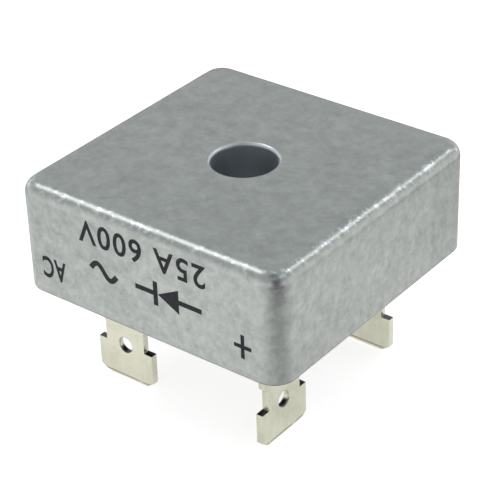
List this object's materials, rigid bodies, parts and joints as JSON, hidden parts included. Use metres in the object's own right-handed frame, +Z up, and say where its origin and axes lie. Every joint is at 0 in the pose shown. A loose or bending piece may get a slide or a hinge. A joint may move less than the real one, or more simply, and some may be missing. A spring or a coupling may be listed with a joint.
{
  "type": "bridge rectifier",
  "caption": "Square aluminium-cased bridge rectifier with a central screw hole, an epoxy filling and notched push-on tabs.",
  "frame": {"origin": "on the standing surface under the tab tips, on the axis of the screw hole, which is the middle of the square case", "axes": "+Z up out of the mounting face, +X along the marked side of the case and -Y out of that side; the plus tab is at the +X -Y corner"},
  "size_m": [0.0286, 0.0286, 0.022],
  "materials": {
    "case_aluminium": "satin",
    "epoxy": "satin",
    "alumina": "matte",
    "copper": "satin",
    "silicon": "gloss",
    "solder": "satin",
    "tinned_tab": "satin"
  },
  "bodies": {
    "root": {"case": "case_aluminium", "potting": "epoxy", "insulator": "alumina", "positive_strap": "copper", "negative_strap": "copper", "left_ac_clip": "copper", "right_ac_clip": "copper", "die_front": "silicon", "die_right": "silicon", "die_back": "silicon", "die_left": "silicon", "strap_solder_front": "solder", "strap_solder_right": "solder", "strap_solder_back": "solder", "strap_solder_left": "solder", "clip_solder_front": "solder", "clip_solder_right": "solder", "clip_solder_back": "solder", "clip_solder_left": "solder", "left_ac_tab": "tinned_tab", "right_ac_tab": "tinned_tab", "plus_tab": "tinned_tab", "minus_tab": "tinned_tab", "left_ac_joint": "solder", "right_ac_joint": "solder", "plus_joint": "solder", "minus_joint": "solder"}
  },
  "joints": []
}
